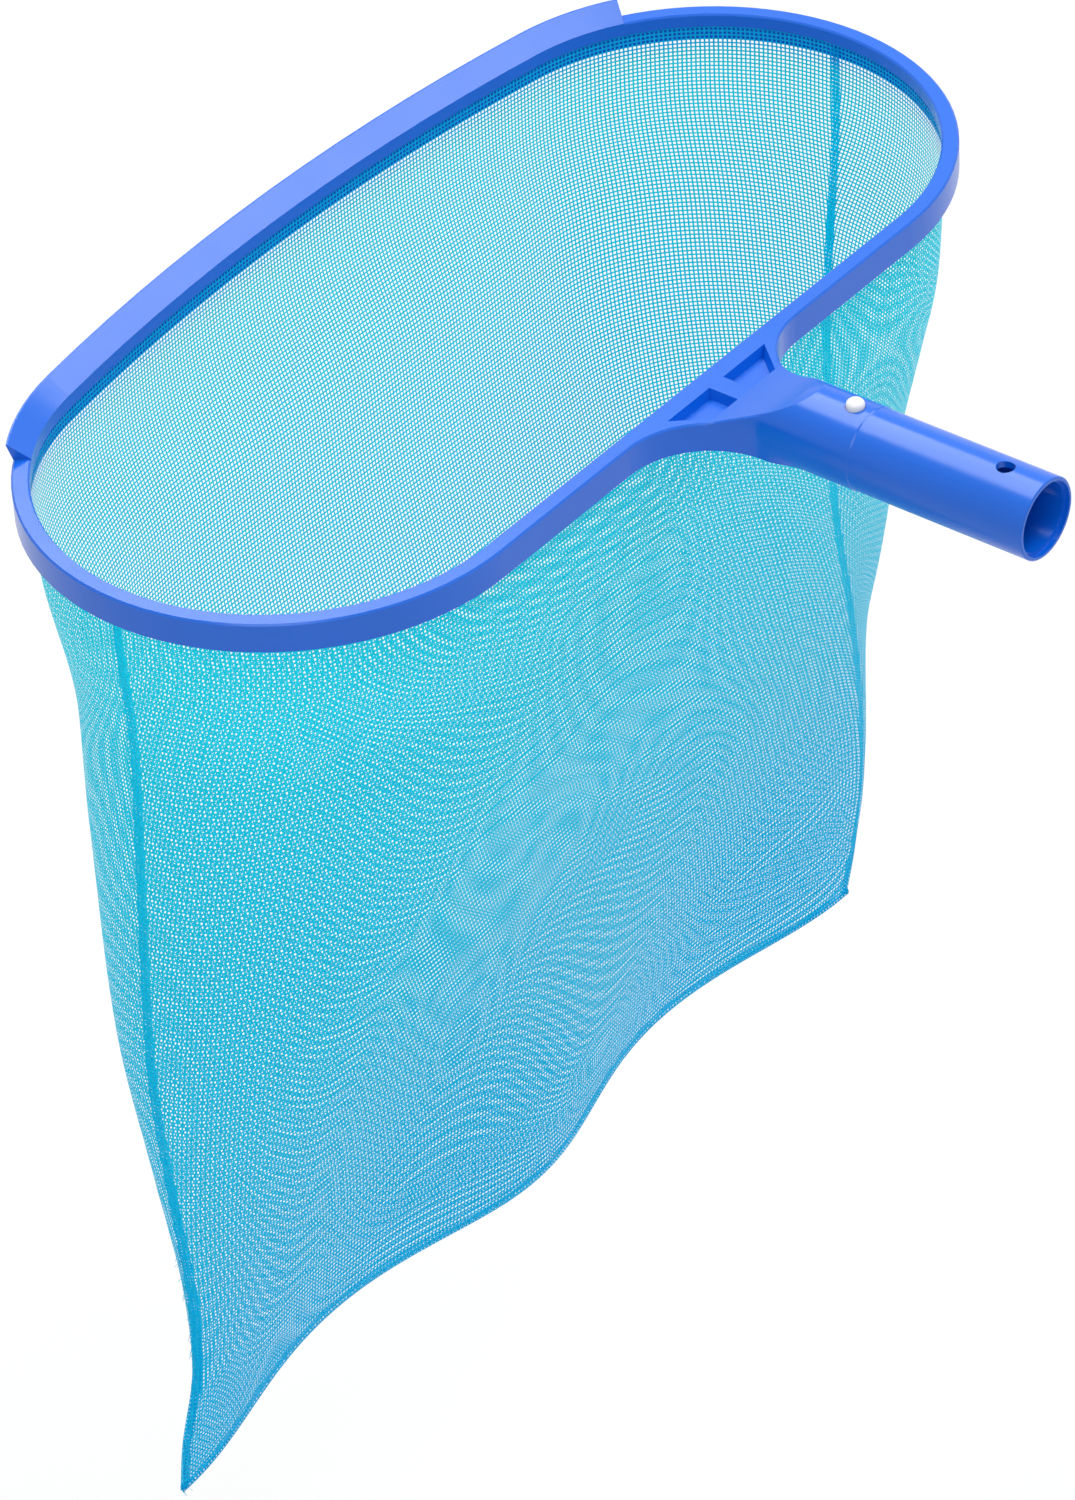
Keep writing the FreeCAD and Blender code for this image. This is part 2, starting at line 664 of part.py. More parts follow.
def net_panel(label, side):
    """Half of the bag: its hem beside the cord, the step over the hoop and the hanging cloth."""
    thin = mm("net_thick")
    step = mm("net_step")
    inner = mm("net_in")
    neck = mm("net_neck_in")
    shape = band(side, inner, inner + thin, step, mm("hem_down"))
    shape = shape.fuse(band(side, inner, neck + thin, step, step + thin))
    shape = shape.fuse(band(side, neck, neck + thin, mm("net_top"), step))
    rim = [chords(rim_half(side, grow, mm("hem_down"))) for grow in (inner + thin, inner)]
    wires = [ribbon(*rim)]
    for depth, left, right, half in BAG_SECTIONS:
        section = (side, 0, depth, left, right, half)
        within = (side, -mm("bag_thick"), depth, left, right, half)
        wires.append(ribbon(chords(bag_half(*section)), chords(bag_half(*within))))
    shape = shape.fuse(Part.makeLoft(wires, True, True)).removeSplitter()
    return plain_feature(label, shape)


def plain_feature(label, shape):
    item = doc.addObject("Part::Feature", label)
    item.Label = label
    item.Shape = shape
    item.Placement = FreeCAD.Placement()
    return item


def seam_wire(depth, outside, inside):
    """A level rectangle across the seam between two X positions."""
    half = mm("seam_half")
    height = rim_top.number - depth
    corners = [(outside, -half), (inside, -half), (inside, half), (outside, half)]
    return Part.makePolygon([
        FreeCAD.Vector(x, centre_y.number + y, height) for x, y in corners + corners[:1]
    ])


def side_seam(label, way):
    """The panels' joined edges: a thin strip up to the rim, then the allowance that stands outward."""
    offset = (centre_y - end_y).number
    edge = math.sqrt(end_radius.number ** 2 - offset ** 2) + mouth_half.number
    thin = mm("net_thick")
    inner = edge + mm("net_in")
    shape = Part.makeLoft([
        seam_wire(depth, way * (inner + thin), way * inner) for depth in (mm("net_step"), mm("hem_down"))
    ], True, True)
    wires = [seam_wire(mm("hem_down"), way * (inner + thin), way * inner)]
    for depth, left, right, half in BAG_SECTIONS:
        reach = -left if way < 0 else right
        wires.append(seam_wire(depth, way * (reach + mm("seam_proud")), way * (reach - mm("bag_thick"))))
    shape = shape.fuse(Part.makeLoft(wires, True, True)).removeSplitter()
    return plain_feature(label, shape)


def bottom_seam():
    """The closed lower edge of the bag, under both panels."""
    depth, left, right, half = BAG_SECTIONS[-1]
    proud = mm("seam_proud")
    foot = mm("foot_half")
    shape = Part.makeBox(
        right - left + proud * 2, foot * 2, mm("foot_high"),
        FreeCAD.Vector(left - proud, centre_y.number - foot, rim_top.number - depth - mm("foot_high")),
    )
    return plain_feature("bottom_seam", shape)


pieces = [frame(), net_retainer(), hem_cord()]
for make, lower_label in ((clip_leg, "clip_lower_leg"), (clip_bend, "clip_lower_bend"), (clip_button, "lower_button")):
    upper = make()
    pieces += [upper, lower_copy(upper, lower_label)]
pieces += [net_panel("net_front_panel", -1), net_panel("net_back_panel", 1)]
pieces += [side_seam("left_side_seam", -1), side_seam("right_side_seam", 1), bottom_seam()]
doc.recompute()

for item in doc.Objects:
    if "Invalid" in item.State or "Error" in item.State:
        raise RuntimeError(f"{item.Name} failed: {item.State}")
for piece in pieces:
    if piece.Shape.isNull() or not piece.Shape.isValid() or len(piece.Shape.Solids) != 1:
        raise RuntimeError(f"{piece.Label} is not one valid solid")

os.makedirs("parts", exist_ok=True)
for piece in pieces:
    piece.Shape.exportStep(f"parts/{piece.Label}.step")
    print(f"{piece.Label}: {piece.Shape.Volume / 1000:.2f} cm3")
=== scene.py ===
import math
import random

import bpy
from mathutils import Matrix, Vector


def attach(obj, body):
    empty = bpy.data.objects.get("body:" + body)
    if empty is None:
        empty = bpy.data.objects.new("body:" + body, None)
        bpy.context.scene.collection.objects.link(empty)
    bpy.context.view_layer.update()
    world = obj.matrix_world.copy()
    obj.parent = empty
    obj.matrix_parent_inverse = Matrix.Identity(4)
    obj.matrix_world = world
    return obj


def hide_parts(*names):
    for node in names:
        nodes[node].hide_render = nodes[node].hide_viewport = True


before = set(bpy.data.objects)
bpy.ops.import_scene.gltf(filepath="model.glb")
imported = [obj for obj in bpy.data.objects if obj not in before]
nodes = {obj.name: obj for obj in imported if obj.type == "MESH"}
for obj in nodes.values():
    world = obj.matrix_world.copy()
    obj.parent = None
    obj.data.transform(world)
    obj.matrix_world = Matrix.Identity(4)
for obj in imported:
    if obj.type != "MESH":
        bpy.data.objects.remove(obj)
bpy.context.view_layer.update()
random.seed(7)

# Lengths are in mm up to mesh_object, which makes them metres
MM = 0.001

# Rim outline, as the frame has it: a straight near side, two end arcs and a long far arc
RIM_TOP = 1.8
RIM_BOTTOM = -8.9
MOUTH_NEAR = 136.8
MOUTH_WIDE = 174
MOUTH_HALF = 111.6
END_RADIUS = 82.6
FAR_RADIUS = MOUTH_WIDE / 2 + MOUTH_HALF ** 2 / (2 * (MOUTH_WIDE - 2 * END_RADIUS))
CENTRE_Y = MOUTH_NEAR + MOUTH_WIDE / 2
END_Y = MOUTH_NEAR + END_RADIUS
FAR_Y = MOUTH_NEAR + MOUTH_WIDE - FAR_RADIUS
JOIN = math.atan2(END_Y - FAR_Y, MOUTH_HALF)

# Hanging bag: depth below the rim's top, left and right seam, half depth, and the length in X over
# which the section rounds off at its left and at its right end
BAG = [
    (11, -194.3, 194.3, 86.6, 86, 86),
    (60, -192.5, 191, 80, 133, 68),
    (123, -197, 185.5, 66, 111, 64),
    (200, -202, 188, 44, 74, 48),
    (256, -199, 197, 29, 75, 66),
    (310, -194.5, 203.5, 16, 95, 78),
    (345, -196, 203, 9.5, 110, 90),
    (371, -204.5, 198, 4.5, 120, 100),
    (391, -208, 191.5, 0.9, 120, 100),
]
BAG_TOP = BAG[0][0]
BAG_FOOT = BAG[-1][0]

# Depth over which the cloth leaves the rim's outline for the hanging bag's
SETTLED = 70

# Two soft waves at the foot, which start at SWAY_FROM
SWAY_FROM = 215
FOOT_WAVE = 200
FOOT_SWAY = 15

# Folds: height, length in X and in depth, and phase. Both panels share the first two.
FOLDS_FROM = 50
FOLDS_GROWN = 200
SHARED_FOLDS = [(1.2, 43, 83, 0), (0.7, 18, -47, 0.7)]
OWN_FOLD = (1.4, 31, 61, 1.3)
OWN_SHARE = 0.25

# The hem runs up beside the cord, over the hoop and down: (depth, outward of the rim's inner edge)
HEM = [(2.4, 1.7), (3.8, 1.7), (5.0, 1.7), (5.25, 0.4), (7.0, 0.4), (9.0, 0.4)]
COLUMNS = 150
ROWS = 130

# Seams, their stitches and the frayed threads along the left one
SEAM_WIDE = 3.6
SEAM_THICK = 0.9
SEAM_GAP = 0.15
SEAM_FIRST_ROW = 4
FOOT_HIGH = 2.8
FOOT_THICK = 1.7
FOOT_BELOW = 0.6
STITCH_PITCH = 2.6
STITCH_LONG = 1.7
STITCH_THICK = 0.36
FRAY_ROWS = (92, 131)
FRAY_COUNT = 90
FRAY_THICK = 0.14

# The three-strand cord in the hem
CORD_OUT = 2.8
CORD_DOWN = 3.0
CORD_DIA = 1.7
CORD_GROOVE = 0.14
CORD_TWIST = 1.6

# Neck: the yoke's flanks are arcs of YOKE_RADIUS that leave the barrel at YOKE_FROM. The ramp above and
# the keel below are hollow arcs, as the frame has them: start and end as (y, z), radius, and way.
NECK_FROM = 85.5
NECK_TO = 118.0
NECK_STEPS = 44
NECK_BARREL = 14.44
YOKE_FROM = 99.8
YOKE_RADIUS = 31
YOKE_FLANK = 45.25
RAMP = ((88.5, 14.5), (118.1, RIM_TOP), 108, 1)
KEEL = ((92, -14.5), (118.1, RIM_BOTTOM), 60, -1)

# The sleeve's skin: how far it stands off the frame's flanks, its ramp and keel, and its barrel
OFF_FLANK = 0.1
OFF_RAMP = 0.06
OFF_BARREL = 0.12

# Curvature of the flank's upper half, in 1/mm, where it is still barrel and where it is all yoke
BARREL_BEND = 0.069
YOKE_BEND = 0.0011
BEND_REACH = 14.4

# Height where the flank turns in to the keel, the least depth of the keel, and its widest circle
FLANK_FOOT = -8.95
KEEL_LEAST = -8.96
KEEL_RADIUS = 14.6
KEEL_SPREAD = 1.15
CROWN_EDGE = 0.5
CROWN_LEAST = 1.2
INNER_SKIN = 0.87
NECK_SHARP = 28

NET_PITCH = 1.62
WORLD_LIGHT = 0.45
FLOOR_REACH = 8000
FLOOR_HEIGHT = -620
FLOOR_WHITE = 0.8
WHITE = (1, 1, 1, 1)

# Camera, solved from the rim's outline in the photograph: degrees, metres and pixels
CAMERA_TURN = (-49.545, 38.285, -3.764)
CAMERA_TARGET = (-0.1903, 0.0671, 0.0018)
CAMERA_DISTANCE = 1.9199
IMAGE_WIDTH = 1075
FOCAL_PX = 6352
CENTRE_PX = 506.4

FRAME_BLUE = (0.002, 0.124, 0.67)
HOOP_BLUE = (0.002, 0.09, 0.60)
BUTTON_WHITE = (0.84, 0.85, 0.86)
CORD_WHITE = (0.62, 0.72, 0.76)
# Cloth colours: each lower colour is painted shade, darker and more blue towards the foot than its top colour
NET_TOP = (0.006, 0.71, 0.85)
NET_FOOT_SHADE = (0.003, 0.57, 0.92)
# Painted blue bounce light from the frame, on the net at the hem
NET_HEM_BOUNCE = (0.003, 0.55, 0.95)
SEAM_TOP = (0.003, 0.76, 0.97)
SEAM_LOW_SHADE = (0.003, 0.66, 0.97)
FOOT_LOW_SHADE = (0.003, 0.60, 0.95)
THREAD_TOP = (0.02, 0.80, 0.90)
THREAD_LOW_SHADE = (0.02, 0.62, 0.92)


def mesh_object(name, points, faces):
    """A smooth object from points in mm."""
    mesh = bpy.data.meshes.new(name)
    mesh.from_pydata([tuple(Vector(point) * MM) for point in points], [], faces)
    mesh.update()
    mesh.polygons.foreach_set("use_smooth", [True] * len(mesh.polygons))
    item = bpy.data.objects.new(name, mesh)
    bpy.context.scene.collection.objects.link(item)
    return item


def smooth_step(value):
    value = max(0.0, min(1.0, value))
    return value * value * (3 - 2 * value)


def between(depth):
    """The bag's section at a depth, by a smooth curve through the rows of BAG."""
    last = len(BAG) - 1
    index = max(0, min(last - 1, sum(1 for row in BAG if row[0] <= depth) - 1))
    before, above, below, after = (BAG[max(0, min(last, index + step))] for step in (-1, 0, 1, 2))
    span = below[0] - above[0]
    part = max(0.0, min(1.0, (depth - above[0]) / span))
    square, cube = part ** 2, part ** 3
    section = []
    for column in range(1, 6):
        start, end = above[column], below[column]
        rise = fall = end - start
        if before is not above:
            rise = (end - before[column]) / (below[0] - before[0]) * span
        if after is not below:
            fall = (after[column] - start) / (after[0] - above[0]) * span
        section.append(
            (2 * cube - 3 * square + 1) * start + (cube - 2 * square + part) * rise
            + (3 * square - 2 * cube) * end + (cube - square) * fall
        )
    return section


def rim_line(side, grow):
    """The rim outline's front (-1) or back (1) half as points from the left seam to the right one."""
    reach = END_RADIUS + grow
    first = math.pi - math.asin((CENTRE_Y - END_Y) / reach)
    steps = 40
    if side < 0:
        last = 1.5 * math.pi
        middle = [(MOUTH_HALF * (2 * step / steps - 1), MOUTH_NEAR - grow) for step in range(1, steps)]
    else:
        last = math.pi - JOIN
        sweep = math.pi - 2 * JOIN
        far = FAR_RADIUS + grow
        turns = [last - sweep * step / steps for step in range(1, steps)]
        middle = [(far * math.cos(turn), FAR_Y + far * math.sin(turn)) for turn in turns]
    left = []
    for step in range(steps + 1):
        turn = first + (last - first) * step / steps
        left.append((-MOUTH_HALF + reach * math.cos(turn), END_Y + reach * math.sin(turn)))
    right = [(-x, y) for x, y in reversed(left)]
    return left + middle + right


def bag_line(side, depth):
    """The hanging bag's front (-1) or back (1) half at a depth, from the left seam to the right one."""
    left, right, half, round_left, round_right = between(depth)
    steps = 32
    line = []
    for step in range(steps + 1):
        turn = math.pi / 2 * step / steps
        line.append((left + round_left * (1 - math.cos(turn)), CENTRE_Y + side * half * math.sin(turn)))
    start, end = left + round_left, right - round_right
    line += [(start + (end - start) * step / steps, CENTRE_Y + side * half) for step in range(1, steps)]
    for step in range(steps + 1):
        turn = math.pi / 2 * (1 - step / steps)
        line.append((right - round_right * (1 - math.cos(turn)), CENTRE_Y + side * half * math.sin(turn)))
    return line


def running(points):
    """Distances along a list of points."""
    run = [0.0]
    for one, other in zip(points, points[1:]):
        run.append(run[-1] + (other - one).length)
    return run


def spread(line, count):
    """The same line as count + 1 points, evenly spaced along it."""
    points = [Vector(point) for point in line]
    run = running(points)
    even = []
    index = 0
    for step in range(count + 1):
        goal = run[-1] * step / count
        while index < len(points) - 2 and run[index + 1] < goal:
            index += 1
        part = (goal - run[index]) / (run[index + 1] - run[index])
        even.append(points[index].lerp(points[index + 1], min(1.0, part)))
    return even


def sway(x, depth):
    """How far the cloth's middle plane swings in Y: towards the foot it hangs in two soft waves."""
    low = max(0.0, (depth - SWAY_FROM) / (BAG_FOOT - SWAY_FROM))
    return FOOT_SWAY / 2 * low ** 1.5 * (1 - math.cos(2 * math.pi * (x - BAG[-1][1]) / FOOT_WAVE))


def ripple(side, x, depth, half):
    """Shallow folds: most are shared by both panels, and the rest fade where the panels meet."""
    grow = smooth_step((depth - FOLDS_FROM) / FOLDS_GROWN)
    shared = sum(
        high * math.sin(x / across + depth / down + phase) for high, across, down, phase in SHARED_FOLDS
    )
    high, across, down, phase = OWN_FOLD
    own = math.sin(x / across + side * phase + depth / down) * min(high, OWN_SHARE * half)
    return grow * (shared + own)


def panel_rows(side):
    """The net panel as rows of points, from the hem down to the foot."""
    rows = []
    for depth, grow in HEM:
        rim = spread(rim_line(side, grow), COLUMNS)
        rows.append([Vector((p.x, p.y, RIM_TOP - depth)) for p in rim])
    for row in range(ROWS + 1):
        depth = BAG_TOP + (BAG_FOOT - BAG_TOP) * row / ROWS
        settled = smooth_step((depth - BAG_TOP) / SETTLED)
        half = between(depth)[2]
        line = []
        for column, (top, low) in enumerate(zip(rim, spread(bag_line(side, depth), COLUMNS))):
            flat = top.lerp(low, settled)
            inward = math.sin(math.pi * column / COLUMNS)
            y = flat.y + sway(flat.x, depth) + ripple(side, flat.x, depth, half) * inward
            line.append(Vector((flat.x, y, RIM_TOP - depth)))
        rows.append(line)
    return rows


def grid_faces(rows, columns, flip):
    faces = []
    for row in range(rows - 1):
        for column in range(columns - 1):
            a = row * columns + column
            face = (a, a + 1, a + columns + 1, a + columns)
            faces.append(face[::-1] if flip else face)
    return faces


def tube_faces(rings, count):
    """The side faces of a tube whose rings have count points each."""
    faces = []
    for row in range(rings - 1):
        for index in range(count):
            a = row * count + index
            b = row * count + (index + 1) % count
            faces.append((a, b, b + count, a + count))
    return faces


def set_weave(item, places):
    """Store each vertex's place on the flat cloth, in mm, as the map that the weave follows."""
    layer = item.data.uv_layers.new(name="weave")
    for loop in item.data.loops:
        layer.data[loop.index].uv = places[loop.vertex_index]


def net_panel(name, side):
    """One panel of the bag, its rows, and its flat width, length and area in mm."""
    rows = panel_rows(side)
    faces = grid_faces(len(rows), COLUMNS + 1, side < 0)
    panel = mesh_object(name, [point for line in rows for point in line], faces)
    middle = COLUMNS // 2
    down = running([line[middle] for line in rows])
    places = []
    widths = []
    for line, drop in zip(rows, down):
        across = running(line)
        widths.append(across[-1])
        places += [(step - across[middle], -drop) for step in across]
    set_weave(panel, places)
    area = sum(
        (one + other) / 2 * (low - high)
        for one, other, high, low in zip(widths, widths[1:], down, down[1:])
    )
    return panel, rows, (max(widths), down[-1], area)


def swept(name, line, sides, section):
    """A closed tube along line; sides gives two cross directions at each point, section the points."""
    points = []
    count = len(section)
    for place, (across, out) in zip(line, sides):
        points += [place + across * u + out * v for u, v in section]
    faces = tube_faces(len(line), count)
    faces.append(tuple(reversed(range(count))))
    faces.append(tuple(len(line) * count - count + index for index in range(count)))
    item = mesh_object(name, points, faces)
    around = [0.0]
    for one, other in zip(section, section[1:]):
        around.append(around[-1] + math.dist(one, other))
    set_weave(item, [(turn, -drop) for drop in running(line) for turn in around])
    return item


def rounded_band(wide, thick):
    """A flat band's section, from 0 to wide across and centred in its thickness."""
    edge = thick / 2
    section = []
    for centre, first in ((edge, math.pi / 2), (wide - edge, -math.pi / 2)):
        turns = [first + math.pi * step / 4 for step in range(5)]
        section += [(centre + edge * math.cos(turn), edge * math.sin(turn)) for turn in turns]
    return section


def side_seam(name, front, back, right):
    """The two panels' side edges, folded in together and pressed against the front panel's inside."""
    edge = COLUMNS if right else 0
    near = edge - 2 if right else edge + 2
    line = []
    sides = []
    for row in range(SEAM_FIRST_ROW, len(front)):
        place = (front[row][edge] + back[row][edge]) / 2
        above = front[row - 1][edge]
        below = front[min(row + 1, len(front) - 1)][edge]
        along = (below - above).normalized()
        across = (front[row][near] - place).normalized()
        across = (across - along * across.dot(along)).normalized()
        out = along.cross(across).normalized()
        if out.x * (1 if right else -1) < 0:
            out = -out
        line.append(place - out * (SEAM_THICK / 2 + SEAM_GAP))
        sides.append((across, out))
    seam = swept(name, line, sides, rounded_band(SEAM_WIDE, SEAM_THICK))
    return seam, line, sides


def foot_seam(name, front, back):
    """The closed foot: both panels' lower edges folded up together."""
    line = []
    sides = []
    count = len(front[-1])
    for column in range(count):
        place = (front[-1][column] + back[-1][column]) / 2
        after = front[-1][min(column + 1, count - 1)]
        before = front[-1][max(column - 1, 0)]
        along = (after - before).normalized()
        up = Vector((0, 0, 1))
        up = (up - along * up.dot(along)).normalized()
        line.append(place - up * FOOT_BELOW)
        sides.append((up, along.cross(up).normalized()))
    seam = swept(name, line, sides, rounded_band(FOOT_HIGH, FOOT_THICK))
    return seam, line, sides


def stitches(name, runs):
    """Short lock stitches along seams: each a slim pointed bead, lying on the band."""
    points = []
    faces = []
    for line, sides, across_at, lift in runs:
        run = running(line)
        goal = STITCH_PITCH
        index = 0
        while goal < run[-1] - STITCH_PITCH:
            while run[index + 1] < goal:
                index += 1
            part = (goal - run[index]) / (run[index + 1] - run[index])
            across, out = sides[index]
            place = line[index].lerp(line[index + 1], part) + across * across_at + out * lift
            reach = (line[index + 1] - line[index]).normalized() * (STITCH_LONG / 2)
            thick = STITCH_THICK / 2
            sunk = out * thick * math.copysign(1, lift)
            first = len(points)
            points += [
                place - reach - sunk, place + across * thick, place + out * thick,
                place - across * thick, place - out * thick, place + reach - sunk,
            ]
            for step in range(4):
                one, other = first + 1 + step, first + 1 + (step + 1) % 4
                faces += [(first, one, other), (first + 5, other, one)]
            goal += STITCH_PITCH
    item = mesh_object(name, points, faces)
    set_weave(item, [(0, 0)] * len(points))
    return item


def fringe(name, line, sides):
    """Frayed thread ends that stick out of a cut edge."""
    points = []
    faces = []
    sections = 4
    for _ in range(FRAY_COUNT):
        index = random.randint(*FRAY_ROWS)
        across, out = sides[index]
        along = (line[index + 1] - line[index]).normalized()
        place = line[index].lerp(line[index + 1], random.random())
        way = (out + along * random.uniform(-0.5, 0.8) + across * random.uniform(-0.6, 0.6)).normalized()
        droop = Vector((0, 0, -1)) * random.uniform(0.1, 0.6)
        reach = random.uniform(1.2, 4.2)
        base = len(points)
        for step in range(sections):
            part = step / (sections - 1)
            centre = place + way * reach * part + droop * reach * part * part
            thin = FRAY_THICK * (1 - 0.5 * part)
            points += [
                centre + across * thin, centre + along * thin, centre - across * thin, centre - along * thin,
            ]
        faces += [tuple(base + corner for corner in face) for face in tube_faces(sections, 4)]
        faces.append(tuple(base + (sections - 1) * 4 + corner for corner in range(4)))
    item = mesh_object(name, points, faces)
    set_weave(item, [(0, 0)] * len(points))
    return item


def hem_rope(name):
    """The twisted cord in the hem, a closed ring that follows the channel under the rim."""
    front = spread(rim_line(-1, CORD_OUT), 260)
    back = spread(rim_line(1, CORD_OUT), 260)
    ring = [Vector((p.x, p.y, RIM_TOP - CORD_DOWN)) for p in front + back[-2:0:-1]]
    count = len(ring)
    around = 12
    points = []
    run = running(ring)
    up = Vector((0, 0, 1))
    for index, place in enumerate(ring):
        across = (ring[(index + 1) % count] - ring[index - 1]).normalized().cross(up)
        for step in range(around):
            turn = 2 * math.pi * step / around
            lobe = 1 - CORD_GROOVE * abs(math.sin(1.5 * (turn - run[index] / CORD_TWIST)))
            points.append(place + (across * math.cos(turn) + up * math.sin(turn)) * CORD_DIA / 2 * lobe)
    faces = [tuple(corner % len(points) for corner in face) for face in tube_faces(count + 1, around)]
    rope = mesh_object(name, points, faces)
    set_weave(rope, [(0, 0)] * len(points))
    return rope


def hollow(start, end, radius, way, y):
    """Height at y on a hollow arc between two (y, z) points; way is 1 for a ramp, -1 for a keel."""
    (y0, z0), (y1, z1) = start, end
    half = math.dist(start, end) / 2
    away = math.sqrt(radius ** 2 - half ** 2) / (2 * half)
    centre_y = (y0 + y1) / 2 - (z1 - z0) * away * way
    centre_z = (z0 + z1) / 2 + (y1 - y0) * away * way
    return centre_z - way * math.sqrt(radius ** 2 - (y - centre_y) ** 2)


def neck_half(y):
    """Half of the neck's section at y, from its crown down to its keel."""
    turn = math.asin(max(0.0, (y - YOKE_FROM) / YOKE_RADIUS))
    share = turn / math.asin((NECK_TO - YOKE_FROM) / YOKE_RADIUS)
    grown = smooth_step((y - NECK_FROM) / (YOKE_FROM - NECK_FROM))
    half = YOKE_FLANK - YOKE_RADIUS * math.cos(turn) + OFF_FLANK
    bend = BARREL_BEND * (1 - share ** 1.3) + YOKE_BEND * share
    high = hollow(*RAMP, y) + OFF_RAMP if y > RAMP[0][0] else NECK_BARREL
    low = hollow(*KEEL, y) - OFF_RAMP if y > KEEL[0][0] else -NECK_BARREL
    high = max(-NECK_BARREL, min(high, NECK_BARREL + OFF_BARREL * grown))
    low = min(KEEL_LEAST, max(low, -NECK_BARREL - OFF_BARREL))
    edge = min(CROWN_EDGE, (high - CROWN_LEAST) / 2)
    foot_half = max(math.sqrt(max(0.0, KEEL_RADIUS ** 2 - low ** 2)), half * smooth_step(share * KEEL_SPREAD))
    heights = [high, high - edge]
    heights += [(high - edge) * math.cos(math.pi / 2 * part / 8) for part in range(1, 9)]
    heights += [FLANK_FOOT * part / 5 for part in range(1, 6)]
    heights += [FLANK_FOOT + (low - FLANK_FOOT) * part / 6 for part in range(1, 7)]
    line = []
    for index, z in enumerate(heights):
        round_half = math.sqrt(max(0.0, NECK_BARREL ** 2 - z * z))
        full = half
        if z > 0:
            full = half - (1 - math.sqrt(1 - (bend * min(z, BEND_REACH)) ** 2)) / bend
        elif z <= KEEL_LEAST:
            full = half + (foot_half - half) * (z - FLANK_FOOT) / (low - FLANK_FOOT)
        x = round_half + (full - round_half) * grown - (edge if index == 0 else 0)
        line.append(Vector((max(0.05, x), y, z)))
    return line


def neck_sleeve(name):
    """The moulded neck, a skin over the frame where the round barrel turns into the yoke's flat flanks."""
    rings = []
    for step in range(NECK_STEPS + 1):
        line = neck_half(NECK_FROM + (NECK_TO - NECK_FROM) * step / NECK_STEPS)
        rings.append(line + [Vector((-p.x, p.y, p.z)) for p in reversed(line)])
    count = len(rings[0])
    points = [point for ring in rings for point in ring]
    for ring in rings:
        middle = (ring[0].z + ring[count // 2].z) / 2
        points += [Vector((p.x * INNER_SKIN, p.y, middle + (p.z - middle) * INNER_SKIN)) for p in ring]
    inner = len(rings) * count
    faces = []
    for a, b, c, d in tube_faces(len(rings), count):
        faces += [(a, d, c, b), (inner + a, inner + b, inner + c, inner + d)]
    last = inner - count
    for index in range(count):
        after = (index + 1) % count
        faces.append((index, after, inner + after, inner + index))
        faces.append((last + index, inner + last + index, inner + last + after, last + after))
    neck = mesh_object(name, points, faces)
    neck.data.set_sharp_from_angle(angle=math.radians(NECK_SHARP))
    return neck


def new_material(name):
    """A material with a Principled shader, and that shader."""
    material = bpy.data.materials.new(name)
    material.use_nodes = True
    material.node_tree.nodes.clear()
    shader = add_node(material, "BsdfPrincipled")
    add_node(material, "OutputMaterial", {0: shader.outputs[0]})
    return material, shader


def set_surface(material, socket):
    """Lead another shader to the material's output."""
    output = next(node for node in material.node_tree.nodes if node.type == "OUTPUT_MATERIAL")
    material.node_tree.links.new(socket, output.inputs[0])


def add_node(owner, kind, sources=(), **settings):
    """A shader node with its properties and inputs set; sources gives links as {input: socket}."""
    node = owner.node_tree.nodes.new("ShaderNode" + kind)
    for key, value in settings.items():
        if hasattr(node, key):
            setattr(node, key, value)
        else:
            node.inputs[key.replace("_", " ")].default_value = value
    for key, socket in dict(sources).items():
        owner.node_tree.links.new(socket, node.inputs[key])
    return node


def math_node(owner, operation, *values):
    """A math node's result; each value is a number or a socket."""
    node = add_node(owner, "Math", operation=operation)
    for index, value in enumerate(values):
        if isinstance(value, (int, float)):
            node.inputs[index].default_value = value
        else:
            owner.node_tree.links.new(value, node.inputs[index])
    return node.outputs[0]


def remap(material, value, **ends):
    """The value between other ends, which are 0 and 1 where they aren't given."""
    return add_node(material, "MapRange", {"Value": value}, **ends).outputs[0]


def noise(material, place, scale, detail, **settings):
    """Noise in space as a socket from 0 to 1."""
    return add_node(material, "TexNoise", {"Vector": place}, Scale=scale, Detail=detail, **settings).outputs[0]


def relief(material, height, strength, distance):
    """A bumped normal; distance is in metres."""
    return add_node(material, "Bump", {"Height": height}, Strength=strength, Distance=distance).outputs[0]


def two_colours(material, factor, low, high, start=0.0, end=1.0):
    ramp = add_node(material, "ValToRGB", {"Fac": factor})
    ramp.color_ramp.elements[0].position = start
    ramp.color_ramp.elements[0].color = (*low, 1)
    ramp.color_ramp.elements[1].position = end
    ramp.color_ramp.elements[1].color = (*high, 1)
    return ramp.outputs[0]


def plastic(name, colour, roughness, specular):
    """Moulded plastic: faint flow marks, handling haze and a very fine surface grain."""
    material, shader = new_material(name)
    links = material.node_tree.links
    place = add_node(material, "TexCoord").outputs["Object"]
    flow = noise(material, place, 14.0, 3.0, Distortion=0.8)
    marked = tuple(value * 0.94 for value in colour)
    links.new(two_colours(material, flow, marked, colour, 0.35, 0.65), shader.inputs["Base Color"])
    haze = noise(material, place, 45.0, 4.0)
    scuff = noise(material, place, 3000.0, 1.0)
    mixed = math_node(
        material, "ADD", math_node(material, "MULTIPLY", haze, 0.7), math_node(material, "MULTIPLY", scuff, 0.3),
    )
    gloss = remap(material, mixed, To_Min=roughness - 0.06, To_Max=roughness + 0.08)
    links.new(gloss, shader.inputs["Roughness"])
    links.new(relief(material, scuff, 0.03, 0.00003), shader.inputs["Normal"])
    shader.inputs["Specular IOR Level"].default_value = specular
    return material


